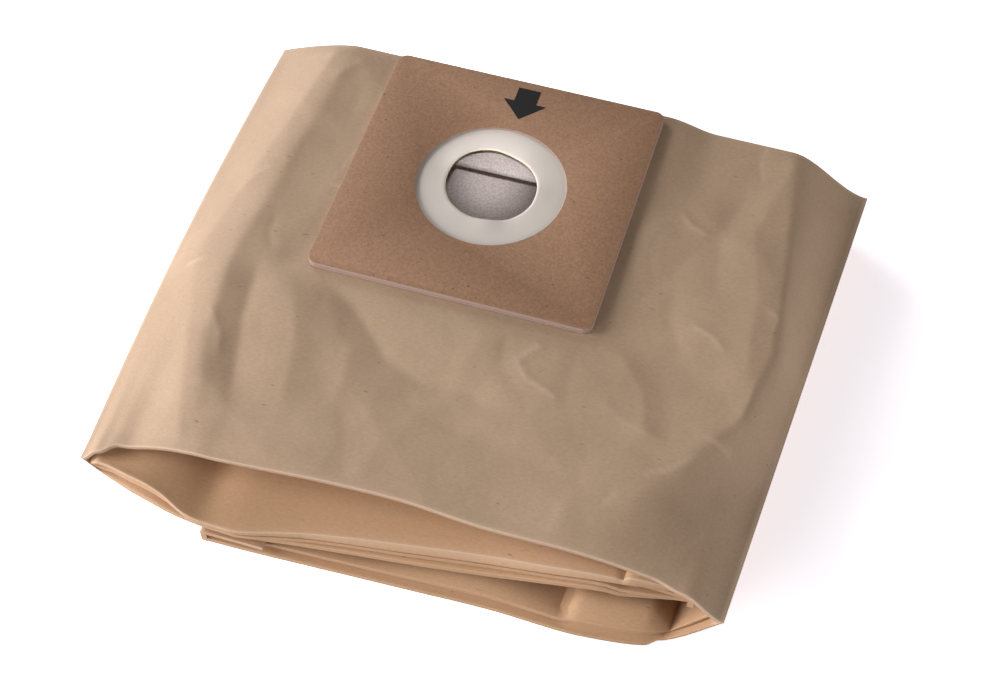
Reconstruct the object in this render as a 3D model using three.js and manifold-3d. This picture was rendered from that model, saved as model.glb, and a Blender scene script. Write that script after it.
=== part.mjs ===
// Vacuum cleaner dust bag, folded flat: a gusseted paper tube in two plies with a card collar.
// Millimetres, +Z up. The bag lies on the plane z = 0, its long side along X, the collar's far edge at +Y.
// While the pieces are made, the middle of the inlet is at x = 0, y = 0.

import * as THREE from 'three';
import { mergeVertices } from 'three/addons/utils/BufferGeometryUtils.js';
import Module from 'manifold-3d';

const wasm = await Module();
wasm.setup();

// Paper
const kraftThickness = 0.4;
const filterThickness = 0.3;
const plyGap = 0.3; // air between plies that lie on each other

// Folded bag
const bagDepth = 212.5; // near edge to far edge of the top panel
const farMargin = 1.5; // bag's far edge beyond the collar's far edge
const leftFold = -111; // where the top layer turns under, measured from the inlet
const rightFold = 129.5;
const leftFoldSkew = 1; // degrees that each fold is off square
const rightFoldSkew = 3.5;
const gussetDepth = 43; // how far the sides are tucked in
const puffedHeight = 43.8; // the floor to the top panel under the collar
const layerGap = 0.8; // air between one folded layer and the next

// Ends of the tube
const innerLayerEnd = 126; // end of the layer that is folded in first, from the inlet
const bottomLayerEnd = -52; // end of the layer that is folded in last
const hemWidth = 24; // how much of each end is turned over and glued

// Collar
const collarSize = 120;
const collarCorner = 4;
const frontCardThickness = 2;
const backCardThickness = 1;
const windowRadius = 31.7;
const membraneHoleRadius = 19;
const membraneGrip = 6; // width of the ring held between the cards
const membraneThickness = 0.8;
const pocketClearance = 0.3;
const inletClearance = 4; // paper and back card stand back from the membrane's hole

// Printed arrow
const arrowLength = 17.6;
const arrowShaftWidth = 9.8;
const arrowShaftLength = 7.8;
const arrowHeadWidth = 18.9;
const arrowSetback = 6.6; // its tip to the edge of the window
const arrowOffset = 0.4; // sideways from the inlet's middle
const inkThickness = 0.1;

// Heights worked out from the plies
const plyStack = kraftThickness + plyGap + filterThickness;
const creaseHeight = 2 * plyStack + plyGap; // a panel and its gusset sheet, turned over at an edge
const packedHeight = 2 * creaseHeight + plyGap; // a whole layer with its gussets closed
const hemHeight = creaseHeight;
const bellyHeight = 2 * packedHeight + plyGap + hemHeight + 2 * layerGap; // lowest place of the top layer

// Places worked out from the sizes
const farEdge = collarSize / 2 + farMargin;
const nearEdge = farEdge - bagDepth;
const middleDepth = (nearEdge + farEdge) / 2;
const flatEdge = -collarSize / 2 - farMargin; // the top panel is flat from here to the far edge
const flatSide = collarSize / 2 + farMargin;
const inletRadius = membraneHoleRadius + inletClearance;
const hemStart = innerLayerEnd - hemWidth;
const hemRampStart = hemStart - 4 * hemHeight; // the layers part gently before the hem

// The bag's soft shape. Each list holds [place, millimetres] and is read as a smooth curve: the place
// runs from -1 at the left fold over 0 at the inlet to 1 at the right fold.
const bellyRise = [[-1, 3], [-0.79, 5], [-0.55, 0.6], [-0.16, 0.8], [0.34, 5], [0.7, 12], [1, 12]];
const bellyTwist = [[-1, 12], [-0.55, 4], [0, 0], [0.7, 0], [1, -4]]; // far edge over near edge
const mouthGape = [[-1, 0], [-0.8, 8.6], [-0.59, 16.5], [-0.28, 17.5], [0.11, 14.6], [0.39, 11.5], [0.7, 3], [1, 0]];
const topLipReach = [[-1, 7], [-0.93, 1], [-0.55, 1.5], [0.08, -2], [0.39, 0], [0.9, 0], [1, 2]];
const lowLipReach = [[-1, 8], [-0.75, 14.6], [-0.5, 19.4], [-0.16, 12.5], [0.1, 7.5], [0.34, 4], [0.76, 2.5], [1, -3]];
const bottomLipReach = [[-0.5, 20], [0, 16], [0.73, 14], [0.88, 9], [1, -1]];
const bottomLipStep = 3; // the bottom layer's upper crease stands back from its lower one
const nearTuckLevel = 0.5; // share of the gape at which a tucked-in crease lies
const farTuckLevel = 0.7;

// Value of a soft shape at x, level past its two ends
function along(points, x) {
  const place = x < 0 ? x / -leftFold : x / rightFold;
  const last = points.length - 1;
  if (place <= points[0][0]) return points[0][1];
  if (place >= points[last][0]) return points[last][1];
  const i = points.findIndex((point) => point[0] > place) - 1;
  const [x0, a] = points[i];
  const [x1, b] = points[i + 1];
  const slope = (k) => {
    if (k === 0 || k === last) return 0;
    return (points[k + 1][1] - points[k - 1][1]) / (points[k + 1][0] - points[k - 1][0]);
  };
  const span = x1 - x0;
  const t = (place - x0) / span;
  const near = (1 + 2 * t) * (1 - t) ** 2 * a + t * (1 - t) ** 2 * span * slope(i);
  const far = t * t * (3 - 2 * t) * b - t * t * (1 - t) * span * slope(i + 1);
  return near + far;
}

// 0 at the near edge of the bag, 1 at the far edge
const across = (y) => (y - nearEdge) / bagDepth;

// Height of the top layer's lower panel
const bellyAt = (x, y) => bellyHeight + along(bellyRise, x) + along(bellyTwist, x) * across(y);

// Air between the top layer and the one folded in under it, wider where the hem lies between them
function gapUnderBelly(x) {
  return layerGap + (plyGap + hemHeight) * THREE.MathUtils.smoothstep(x, hemRampStart, hemStart);
}

// Height of the top panel: level under the collar, falling to the folds and to the near edge
function topAt(x, y, lipY) {
  const fold = x < 0 ? leftFold : rightFold;
  const t = Math.max(0, (Math.abs(x) - flatSide) / (Math.abs(fold) - flatSide));
  const foldTop = bellyAt(fold, y) + packedHeight;
  const level = puffedHeight - (puffedHeight - foldTop) * t * t;
  if (y >= flatEdge) return level;
  const lipTop = bellyAt(x, lipY) + packedHeight + along(mouthGape, x);
  const s = (flatEdge - y) / (flatEdge - lipY);
  return level - (level - lipTop) * s * s;
}

// A station is one place along the folded tube. spot(y, n) gives x and z of a point that stands n
// outwards from the layer's inner panel; topLip and lowLip say where its two near creases lie.
function station(x, turn, spot, topLip, lowLip, thickness) {
  const share = THREE.MathUtils.clamp((x - leftFold) / (rightFold - leftFold), 0, 1) * turn;
  const skew = THREE.MathUtils.lerp(
    Math.tan(THREE.MathUtils.degToRad(leftFoldSkew)),
    Math.tan(THREE.MathUtils.degToRad(rightFoldSkew)),
    turn === 2 ? 1 : share,
  );
  return { skew, spot, topLip, lowLip, thickness: thickness ?? (() => packedHeight) };
}

// Stations from the inner layer's end, round the left fold, over the top and round the right fold
// to the bottom layer's end. Both ends are drawn in by inset.
function stationsAt(inset) {
  const list = [];
  const topSteps = 15;
  const grid = [];
  for (let i = 0; i <= topSteps; i += 1) {
    grid.push(leftFold + ((rightFold - leftFold) * i) / topSteps);
  }
  grid.push(-flatSide, flatSide, hemRampStart, hemStart);
  grid.sort((a, b) => a - b);

  const innerEnd = innerLayerEnd - inset;
  const innerXs = [innerEnd, ...grid.filter((x) => x < innerLayerEnd - 2 && x > leftFold).reverse()];
  const lowLipAt = (x) => nearEdge - along(lowLipReach, x);
  const topLipAt = (x) => nearEdge - along(topLipReach, x);
  for (const x of innerXs) {
    const spot = (y, n) => [x, bellyAt(x, y) - gapUnderBelly(x) - n];
    list.push(station(x, 0, spot, lowLipAt(x), lowLipAt(x)));
  }

  const foldSteps = 6;
  for (let i = 0; i <= foldSteps; i += 1) {
    const angle = (Math.PI * i) / foldSteps;
    const spot = (y, n) => {
      const radius = layerGap / 2;
      const centre = bellyAt(leftFold, y) - radius;
      return [leftFold - Math.sin(angle) * (radius + n), centre - Math.cos(angle) * (radius + n)];
    };
    list.push(station(leftFold, 0, spot, topLipAt(leftFold), lowLipAt(leftFold)));
  }

  for (const x of grid.filter((value) => value > leftFold && value < rightFold)) {
    const spot = (y, n) => [x, bellyAt(x, y) + n];
    const topLip = topLipAt(x);
    const thickness = (y) => topAt(x, y, topLip) - bellyAt(x, y);
    list.push(station(x, 1, spot, topLip, lowLipAt(x), thickness));
  }

  const turnSteps = 10;
  for (let i = 0; i <= turnSteps; i += 1) {
    const angle = (Math.PI * i) / turnSteps;
    const spot = (y, n) => {
      const radius = (bellyAt(rightFold, y) - packedHeight) / 2;
      const centre = packedHeight + radius;
      return [rightFold + Math.sin(angle) * (radius + n), centre + Math.cos(angle) * (radius + n)];
    };
    const t = i / turnSteps;
    const bottomLip = nearEdge - along(bottomLipReach, rightFold);
    const topLip = THREE.MathUtils.lerp(topLipAt(rightFold), bottomLip, t);
    const lowLip = THREE.MathUtils.lerp(lowLipAt(rightFold), bottomLip + bottomLipStep, t);
    list.push(station(rightFold, 2, spot, topLip, lowLip));
  }

  const bottomEnd = bottomLayerEnd + inset;
  const bottomSteps = 8;
  for (let i = 1; i <= bottomSteps; i += 1) {
    const x = rightFold + ((bottomEnd - rightFold) * i) / bottomSteps;
    const spot = (y, n) => [x, packedHeight - n];
    const lip = nearEdge - along(bottomLipReach, x);
    list.push(station(x, 2, spot, lip, lip + bottomLipStep));
  }
  return list;
}

// Section of the tube at a station, as [y, n], drawn in by inset all round: near gusset, lower panel,
// far gusset and upper panel
function sectionAt(place, inset) {
  const { topLip, lowLip, thickness } = place;
  const nearHeight = thickness(topLip);
  const farHeight = thickness(farEdge);
  const nearTuck = packedHeight / 2 + (nearHeight - packedHeight) * nearTuckLevel;
  const farTuck = packedHeight / 2 + (farHeight - packedHeight) * farTuckLevel;
  const half = plyGap / 2 + inset;
  const nearDepth = nearEdge + gussetDepth + inset;
  const farDepth = farEdge - gussetDepth - inset;
  const section = [
    [topLip + inset, nearHeight - inset],
    [topLip + inset, nearHeight - creaseHeight + inset],
    [nearDepth, nearTuck + half],
    [nearDepth, nearTuck - half],
    [lowLip + inset, creaseHeight - inset],
    [lowLip + inset, inset],
    [middleDepth, inset],
    [farEdge - inset, inset],
    [farEdge - inset, creaseHeight - inset],
    [farDepth, farTuck - half],
    [farDepth, farTuck + half],
    [farEdge - inset, farHeight - creaseHeight + inset],
    [farEdge - inset, farHeight - inset],
  ];
  const panelSteps = 5;
  for (let i = 0; i < panelSteps; i += 1) {
    const y = THREE.MathUtils.lerp(flatEdge, topLip, i / panelSteps);
    section.push([y, thickness(y) - inset]);
  }
  return section;
}

// The closed skin of the whole tube, drawn in by inset, as a solid
function tubeSkin(inset) {
  const stations = stationsAt(inset);
  const positions = [];
  const indices = [];
  const sections = stations.map((place) => sectionAt(place, inset));
  const ring = sections[0].length;
  stations.forEach((place, i) => {
    for (const [y, n] of sections[i]) {
      const [x, z] = place.spot(y, n);
      positions.push(x + place.skew * (y - middleDepth), y, z);
    }
  });
  for (let i = 0; i + 1 < stations.length; i += 1) {
    for (let j = 0; j < ring; j += 1) {
      const a = i * ring + j;
      const b = i * ring + ((j + 1) % ring);
      indices.push(a, b, a + ring, b, b + ring, a + ring);
    }
  }
  const capEnd = (index, flip) => {
    const outline = sections[index].map(([y, n]) => new THREE.Vector2(y, n));
    for (const [a, b, c] of THREE.ShapeUtils.triangulateShape(outline, [])) {
      const corner = [a, b, c].map((k) => k + index * ring);
      if (flip) corner.reverse();
      indices.push(...corner);
    }
  };
  capEnd(0, true);
  capEnd(stations.length - 1, false);
  const geometry = new THREE.BufferGeometry();
  geometry.setAttribute('position', new THREE.Float32BufferAttribute(positions, 3));
  geometry.setIndex(indices);
  return toSolid(geometry);
}

// Glued hem at one end of the tube: the end wall and the flap that is turned over onto the layer.
// level(x, y) is the height of the layer's inner panel, side is +1 where the end points to +X.
function hem(end, side, skewDegrees, lipY, level) {
  const inWall = -kraftThickness / 2;
  const flapLow = plyGap;
  const flapHigh = plyGap + hemHeight;
  const round = 0.4 * hemHeight;
  const profile = [
    [inWall, -packedHeight],
    [hemHeight - round, -packedHeight],
    [hemHeight, round - packedHeight],
    [hemHeight, flapHigh - round],
    [hemHeight - round, flapHigh],
  ];
  const flapSteps = 4;
  for (let i = 0; i <= flapSteps; i += 1) profile.push([(-hemWidth * i) / flapSteps, flapHigh]);
  for (let i = flapSteps; i > 0; i -= 1) profile.push([(-hemWidth * i) / flapSteps, flapLow]);
  profile.push([inWall, flapLow]);
  const outline = profile.map(([e, h]) => new THREE.Vector2(side * e, h));
  const depth = farEdge - lipY;
  const geometry = new THREE.ExtrudeGeometry(new THREE.Shape(outline), { depth, bevelEnabled: false });
  geometry.rotateX(Math.PI / 2);
  geometry.translate(0, farEdge, 0);
  const position = geometry.attributes.position;
  const skew = Math.tan(THREE.MathUtils.degToRad(skewDegrees));
  for (let i = 0; i < position.count; i += 1) {
    const y = position.getY(i);
    const onLayer = end + side * Math.min(0, side * position.getX(i));
    position.setZ(i, position.getZ(i) + level(onLayer, y));
    position.setX(i, position.getX(i) + end + skew * (y - middleDepth));
  }
  return toSolid(geometry);
}

// Closed geometry to solid, turned right side out if its volume is negative
function toSolid(geometry) {
  geometry.deleteAttribute('normal');
  geometry.deleteAttribute('uv');
  const merged = mergeVertices(geometry, 1e-4);
  const index = Uint32Array.from(merged.index.array);
  const position = merged.attributes.position.array;
  let volume = 0;
  const corner = [new THREE.Vector3(), new THREE.Vector3(), new THREE.Vector3()];
  for (let i = 0; i < index.length; i += 3) {
    corner.forEach((point, k) => point.fromArray(position, 3 * index[i + k]));
    volume += corner[0].dot(corner[1].cross(corner[2]));
  }
  if (volume < 0) {
    for (let i = 0; i < index.length; i += 3) {
      [index[i], index[i + 1]] = [index[i + 1], index[i]];
    }
  }
  const mesh = new wasm.Mesh({ numProp: 3, vertProperties: Float32Array.from(position), triVerts: index });
  return new wasm.Manifold(mesh);
}

function toGeometry(solid) {
  const mesh = solid.getMesh();
  const geometry = new THREE.BufferGeometry();
  geometry.setAttribute('position', new THREE.BufferAttribute(mesh.vertProperties, 3));
  geometry.setIndex(new THREE.BufferAttribute(mesh.triVerts, 1));
  geometry.computeVertexNormals();
  return geometry;
}

// Upright round cutter about the inlet's axis
function roundCutter(radius, low, high) {
  const sides = 48;
  const geometry = new THREE.CylinderGeometry(radius, radius, high - low, sides);
  geometry.rotateX(Math.PI / 2);
  geometry.translate(0, 0, (low + high) / 2);
  return toSolid(geometry);
}

// Outer bag: kraft tube with both ends hemmed, and the inlet hole through its top panel
function makeOuterBag() {
  const innerLip = nearEdge - along(lowLipReach, innerLayerEnd);
  const bottomLip = nearEdge - along(bottomLipReach, bottomLayerEnd);
  const innerLevel = (x, y) => bellyAt(x, y) - gapUnderBelly(x);
  const cutter = roundCutter(inletRadius, puffedHeight - 2 * plyStack, puffedHeight + plyStack);
  return tubeSkin(0)
    .subtract(tubeSkin(kraftThickness))
    .add(hem(innerLayerEnd, 1, leftFoldSkew, innerLip, innerLevel))
    .add(hem(bottomLayerEnd, -1, rightFoldSkew, bottomLip, () => packedHeight))
    .subtract(cutter);
}

// Filter liner: the white inner ply, all the way round inside the kraft tube
function makeFilterLiner() {
  const outside = kraftThickness + plyGap;
  const cutter = roundCutter(inletRadius, puffedHeight - 2 * plyStack, puffedHeight + plyStack);
  return tubeSkin(outside).subtract(tubeSkin(outside + filterThickness)).subtract(cutter);
}

// Square card with rounded corners and a round hole, standing on z = low
function cardPlate(holeRadius, thickness, low) {
  const half = collarSize / 2;
  const shape = new THREE.Shape();
  shape.moveTo(-half + collarCorner, -half);
  shape.absarc(half - collarCorner, -half + collarCorner, collarCorner, -Math.PI / 2, 0, false);
  shape.absarc(half - collarCorner, half - collarCorner, collarCorner, 0, Math.PI / 2, false);
  shape.absarc(-half + collarCorner, half - collarCorner, collarCorner, Math.PI / 2, Math.PI, false);
  shape.absarc(-half + collarCorner, -half + collarCorner, collarCorner, Math.PI, 1.5 * Math.PI, false);
  const hole = new THREE.Path();
  hole.absarc(0, 0, holeRadius, 0, 2 * Math.PI, true);
  shape.holes.push(hole);
  const geometry = new THREE.ExtrudeGeometry(shape, { depth: thickness, bevelEnabled: false, curveSegments: 24 });
  geometry.translate(0, 0, low);
  return toSolid(geometry);
}

const backCardLow = puffedHeight;
const frontCardLow = backCardLow + backCardThickness;
const collarTop = frontCardLow + frontCardThickness;
const membraneRadius = windowRadius + membraneGrip;

// Front card: window and, under it, the pocket that holds the membrane's rim
function makeFrontCard() {
  const pocketTop = frontCardLow + membraneThickness + pocketClearance;
  const pocket = roundCutter(membraneRadius + pocketClearance, frontCardLow - plyGap, pocketTop);
  return cardPlate(windowRadius, frontCardThickness, frontCardLow).subtract(pocket);
}

const makeBackCard = () => cardPlate(inletRadius, backCardThickness, backCardLow);

// Seal membrane: flat rubber ring with a softened edge round its hole
function makeMembrane() {
  const top = frontCardLow + membraneThickness;
  const soft = 0.3 * membraneThickness;
  const profile = [
    [membraneHoleRadius + soft, frontCardLow],
    [membraneRadius, frontCardLow],
    [membraneRadius, top],
    [membraneHoleRadius + soft, top],
    [membraneHoleRadius, top - soft],
    [membraneHoleRadius, frontCardLow + soft],
    [membraneHoleRadius + soft, frontCardLow],
  ];
  const points = profile.map(([r, z]) => new THREE.Vector2(r, z));
  const geometry = new THREE.LatheGeometry(points, 64);
  geometry.rotateX(Math.PI / 2);
  return toSolid(geometry);
}

// Arrow print: a film of black ink that points from the collar's far edge to the window
function makeArrow() {
  const tip = windowRadius + arrowSetback;
  const neck = tip + arrowLength - arrowShaftLength;
  const shape = new THREE.Shape();
  shape.moveTo(0, tip);
  shape.lineTo(arrowHeadWidth / 2, neck);
  shape.lineTo(arrowShaftWidth / 2, neck);
  shape.lineTo(arrowShaftWidth / 2, tip + arrowLength);
  shape.lineTo(-arrowShaftWidth / 2, tip + arrowLength);
  shape.lineTo(-arrowShaftWidth / 2, neck);
  shape.lineTo(-arrowHeadWidth / 2, neck);
  const geometry = new THREE.ExtrudeGeometry(shape, { depth: inkThickness, bevelEnabled: false });
  geometry.translate(arrowOffset, 0, collarTop);
  return toSolid(geometry);
}

// Finishes and assembly
const bag = new THREE.Group();

function addPiece(name, solid, color, roughness) {
  const material = new THREE.MeshStandardMaterial({ color, roughness, metalness: 0 });
  const mesh = new THREE.Mesh(toGeometry(solid), material);
  mesh.name = name;
  bag.add(mesh);
}

addPiece('outer_bag', makeOuterBag(), 0xc6a588, 0.85);
addPiece('filter_liner', makeFilterLiner(), 0xe6dfda, 0.95);
addPiece('collar_back_card', makeBackCard(), 0xa07c64, 0.9);
addPiece('collar_front_card', makeFrontCard(), 0x9a7660, 0.9);
addPiece('seal_membrane', makeMembrane(), 0xd8cfc6, 0.55);
addPiece('arrow_print', makeArrow(), 0x262323, 0.7);

// The origin moves to the middle of the folded bag's underside
const box = new THREE.Box3().setFromObject(bag);
const middle = box.getCenter(new THREE.Vector3());
bag.position.set(-middle.x, -middle.y, -box.min.z);

export default bag;
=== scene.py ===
import math
import random

import bmesh
import bpy
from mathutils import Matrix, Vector, noise


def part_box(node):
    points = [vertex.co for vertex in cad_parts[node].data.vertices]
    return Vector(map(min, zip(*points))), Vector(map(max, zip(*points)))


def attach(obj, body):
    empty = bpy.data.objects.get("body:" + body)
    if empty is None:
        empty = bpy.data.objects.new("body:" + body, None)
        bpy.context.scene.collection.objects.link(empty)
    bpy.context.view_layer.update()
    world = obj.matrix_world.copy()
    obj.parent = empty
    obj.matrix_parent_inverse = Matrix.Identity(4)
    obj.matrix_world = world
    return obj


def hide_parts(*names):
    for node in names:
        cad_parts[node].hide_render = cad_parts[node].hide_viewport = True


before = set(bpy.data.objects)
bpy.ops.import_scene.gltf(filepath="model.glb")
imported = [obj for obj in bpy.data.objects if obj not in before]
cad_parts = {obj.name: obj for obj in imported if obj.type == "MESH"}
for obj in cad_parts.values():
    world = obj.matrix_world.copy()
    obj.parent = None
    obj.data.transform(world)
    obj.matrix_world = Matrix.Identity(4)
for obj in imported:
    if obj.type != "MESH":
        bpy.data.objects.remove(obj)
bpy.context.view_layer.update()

# Camera
# It looks down on the near right corner of the folded bag, as on a packing table. Places are in
# millimetres from the middle of the inlet, and heights from the table.
MM = 0.001
card_low, card_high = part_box("collar_front_card")
inlet_x = (card_low.x + card_high.x) / 2
inlet_y = (card_low.y + card_high.y) / 2
collar_top = card_high.z / MM


def spot(x, y, z):
    """Point in metres of a place in millimetres from the inlet's middle."""
    return Vector((inlet_x + x * MM, inlet_y + y * MM, z * MM))


view_azimuth = math.radians(17.15)
view_elevation = math.radians(55.16)
view_distance = 748
view_target = spot(27.9, -77.6, collar_top)
view_direction = Vector((
    math.sin(view_azimuth) * math.cos(view_elevation),
    -math.cos(view_azimuth) * math.cos(view_elevation),
    math.sin(view_elevation),
))
camera_data = bpy.data.cameras.new("camera")
camera_data.sensor_width = 36
camera_data.lens = 68.58
camera = bpy.data.objects.new("camera", camera_data)
camera.location = view_target + view_direction * view_distance * MM
camera.rotation_euler = (-view_direction).to_track_quat("-Z", "Y").to_euler()
bpy.context.scene.collection.objects.link(camera)
bpy.context.scene.camera = camera

# Outer bag
# One gusseted tube of brown kraft paper, creased by machine and folded in three under the collar.
# The layer under the collar stands puffed up, and both ends are turned over and glued.
left_fold = -111
right_fold = 129.5
left_skew = math.tan(math.radians(1))
right_skew = math.tan(math.radians(3.5))
far_edge = 61.5
near_edge = -151
middle_depth = (near_edge + far_edge) / 2
gusset_depth = 43
# Half the side of the card, over which the top panel is smooth, and of the part of it that is level
card_half = 60
level_half = 61.5
puffed_height = 43.8
glue_gap = 0.15
layer_gap = 0.8
kraft_thickness = 0.4
ply_gap = 0.3
# A folded edge with its two plies, the whole tube where it lies flat, and the tube round a turn
fold_thickness = 2.3
tube_thickness = 4.9
turn_thickness = 7
inner_end = 126
bottom_start = right_fold - 7
bottom_end = -57
hem_width = 24
belly_height = 14
hem_start = inner_end - hem_width
hem_ramp = hem_start - 4 * fold_thickness

# Soft shapes of the folded paper, as [place, millimetres], and floor_tuck as a share of the height.
# The place runs from -1 at the left fold over 0 at the inlet to 1 at the right fold, and the curve
# through the points is smooth. The belly is the puffed layer's lower panel, a gape is how far a
# tucked-in side stands open, and a reach how far a lip stands out to the near side.
belly_rise = [[-1, 3], [-0.79, 5], [-0.55, 0.6], [-0.16, 0.8], [0.34, 5], [0.7, 12], [1, 12]]
belly_twist = [[-1, 12], [-0.55, 4], [0, 0], [0.7, 0], [1, -2.6]]
mouth_gape = [
    [-1, 3], [-0.95, 4.4], [-0.88, 4.4], [-0.8, 7.2], [-0.69, 12.5], [-0.59, 16], [-0.28, 17.5],
    [0.11, 14.6], [0.39, 11.5], [0.57, 8], [0.7, 5], [0.85, 2], [1, 0],
]
top_lip_reach = [[-1, 6], [-0.93, 2], [-0.55, 1.5], [0.08, -2], [0.39, 0], [0.9, 0], [1, 2.5]]
low_lip_reach = [
    [-1, 7.6], [-0.86, 10.7], [-0.73, 14.1], [-0.62, 18.7], [-0.5, 19.6], [-0.42, 19.4], [-0.28, 15.4],
    [-0.15, 12.2], [0.13, 7.6], [0.38, 4.4], [0.62, 3.7], [0.8, 2.3], [1, 0],
]
low_lip_spread = [[-0.5, 0], [-0.28, 0.5], [0.1, 2], [0.5, 2], [0.8, 1], [1, 0]]
inner_lip_reach = [
    [-1, 8.5], [-0.83, 13.2], [-0.66, 17.1], [-0.45, 17.6], [-0.22, 14.5], [0.14, 10.6], [0.39, 7.8],
    [0.63, 5.7], [0.75, 4], [0.84, 1.5], [1, -2],
]
inner_mouth = [[-1, 0.5], [-0.88, 2.2], [-0.75, 2.2], [-0.62, 0.3], [-0.4, 0], [0, 0.8], [0.8, 0.8], [1, 0]]
bottom_lip_reach = [
    [-0.5, 18.7], [-0.1, 17.4], [0.2, 16], [0.45, 14.9], [0.68, 15.6], [0.79, 14.6], [0.88, 13],
    [0.95, 10.6], [1, 8.5],
]
bottom_lip_step = 3
bottom_bulge = [[0, 0], [0.4, 3.2], [0.66, 0], [0.672, 0], [0.69, 6.5], [0.8, 8.5], [1, 8]]
floor_tuck = [
    [-1, 0.95], [-0.88, 0.8], [-0.74, 0.4], [-0.6, 0.03], [-0.53, 0.03], [-0.43, 0.35], [-0.2, 0.5],
    [0.3, 0.7], [1, 0.8],
]
floor_swell = [
    [-1, 0], [-0.93, -0.8], [-0.8, -1.2], [-0.66, -0.4], [-0.57, -0.4], [-0.48, 1], [-0.2, 1.2],
    [0.3, 1.5], [1, 1],
]
flap_step = [[-1, 0], [0.79, 0], [0.805, -0.5], [0.82, -0.5], [0.828, 2], [0.9, 1.6], [1, 0]]


def along(points, x):
    """Value of a soft shape at x, level past its two ends."""
    place = x / -left_fold if x < 0 else x / right_fold
    last = len(points) - 1
    if place <= points[0][0]:
        return points[0][1]
    if place >= points[last][0]:
        return points[last][1]
    i = next(k for k in range(last) if points[k + 1][0] > place)

    def slope(k):
        if k in (0, last):
            return 0
        return (points[k + 1][1] - points[k - 1][1]) / (points[k + 1][0] - points[k - 1][0])

    span = points[i + 1][0] - points[i][0]
    t = (place - points[i][0]) / span
    start = (1 + 2 * t) * (1 - t) ** 2 * points[i][1] + t * (1 - t) ** 2 * span * slope(i)
    return start + t * t * (3 - 2 * t) * points[i + 1][1] - t * t * (1 - t) * span * slope(i + 1)


def mix(a, b, t):
    return a + (b - a) * t


def smooth_step(low, high, value):
    t = min(1, max(0, (value - low) / (high - low)))
    return t * t * (3 - 2 * t)


def belly(x, y):
    """Height of the puffed layer's lower panel."""
    twist = along(belly_twist, x) * (y - near_edge) / (far_edge - near_edge)
    return belly_height + along(belly_rise, x) + twist


def lip_top(x):
    """Height of the top panel's near lip."""
    return belly(x, near_edge) + tube_thickness + along(mouth_gape, x)


def gap_under_belly(x):
    return layer_gap + (ply_gap + fold_thickness) * smooth_step(hem_ramp, hem_start, x)


def top_lip(x):
    return near_edge - along(top_lip_reach, x)


def low_lip(x):
    return near_edge - along(low_lip_reach, x)


def inner_lip(x):
    return near_edge - along(inner_lip_reach, x)


def bottom_lip(x):
    return near_edge - along(bottom_lip_reach, x)


# Where the top panel bends down to each fold, as (y, x), from the near lip to the far one.
left_bend = [(near_edge, -72), (-143, -74), (-105, -86), (-66, -90), (-9, -86), (far_edge, -80)]
right_bend = [(near_edge, 82), (-120, 96), (-81, 125), (-48, 132), (17, 123), (far_edge, 116)]


def at_depth(points, y):
    """Straight interpolation of (y, value) points."""
    for (y0, v0), (y1, v1) in zip(points, points[1:]):
        if y <= y1:
            return mix(v0, v1, max(0, (y - y0) / (y1 - y0)))
    return points[-1][1]


def depth_share(y):
    return (y - near_edge) / (far_edge - near_edge)


def fold_edge(side, y):
    """Outermost x of a fold."""
    if side < 0:
        swell = 3 * math.sin(math.pi * min(1, max(0, depth_share(y))))
        return left_fold - 8 - swell + left_skew * (y - middle_depth)
    return right_fold + mix(16.3, 15.5, depth_share(y)) + right_skew * (y - middle_depth)


def fold_height(side, y):
    """Height of a fold's outermost line."""
    return mix(18, 30, depth_share(y)) if side < 0 else mix(22.5, 20.8, depth_share(y))


def top_panel(x, y, lip_height):
    """Height of the smooth top panel at the true x: level, then bent down to the folds and the lip."""
    side = -1 if x < 0 else 1
    beyond = smooth_step(level_half, level_half + 22, abs(x)) * smooth_step(-20, 55, y)
    level = puffed_height - glue_gap - (4.3 if side > 0 else 0) * beyond
    bend = at_depth(left_bend if side < 0 else right_bend, y)
    share = min(1, max(0, (x - bend) / (fold_edge(side, y) - bend)))
    share = share ** 1.4 if side < 0 else smooth_step(0, 1, share)
    level = mix(level, fold_height(side, y), share)
    if y > -level_half:
        return level
    s = (-level_half - y) / (-level_half - near_edge)
    return mix(level, lip_height, min(1, s * s))


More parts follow.
